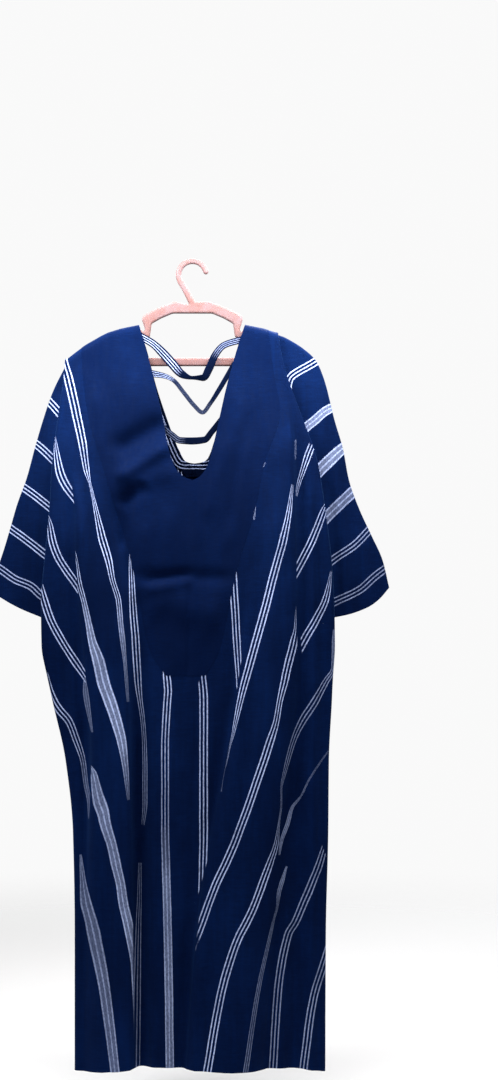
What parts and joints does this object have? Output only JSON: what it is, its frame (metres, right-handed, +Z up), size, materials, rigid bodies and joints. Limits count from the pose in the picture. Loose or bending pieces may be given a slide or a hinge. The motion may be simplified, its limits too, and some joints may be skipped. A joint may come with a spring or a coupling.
{
  "type": "grand boubou robe on a clothes hanger",
  "caption": "Wide indigo boubou robe of fine-striped strip-woven cotton with a plain deep-V yoke and neck straps, hanging in long folds on a pink plastic clothes hanger.",
  "frame": {"origin": "inside top of the hanger's hook, where a rail carries it", "axes": "+Z up, from the hem to the hook; +X to the right as the front is seen; the front faces -Y"},
  "size_m": [0.668, 0.1401, 1.3484],
  "materials": {
    "striped_cotton": "matte",
    "plain_cotton": "matte",
    "striped_trim": "matte",
    "pink_plastic": "gloss"
  },
  "bodies": {
    "root": {"front_panel": "striped_cotton", "back_panel": "striped_cotton", "left_sleeve": "striped_cotton", "right_sleeve": "striped_cotton", "front_yoke": "plain_cotton", "back_neck_band": "striped_trim", "upper_strap": "striped_trim", "middle_strap": "striped_trim", "lower_strap": "striped_trim", "hanger": "pink_plastic"}
  },
  "joints": []
}
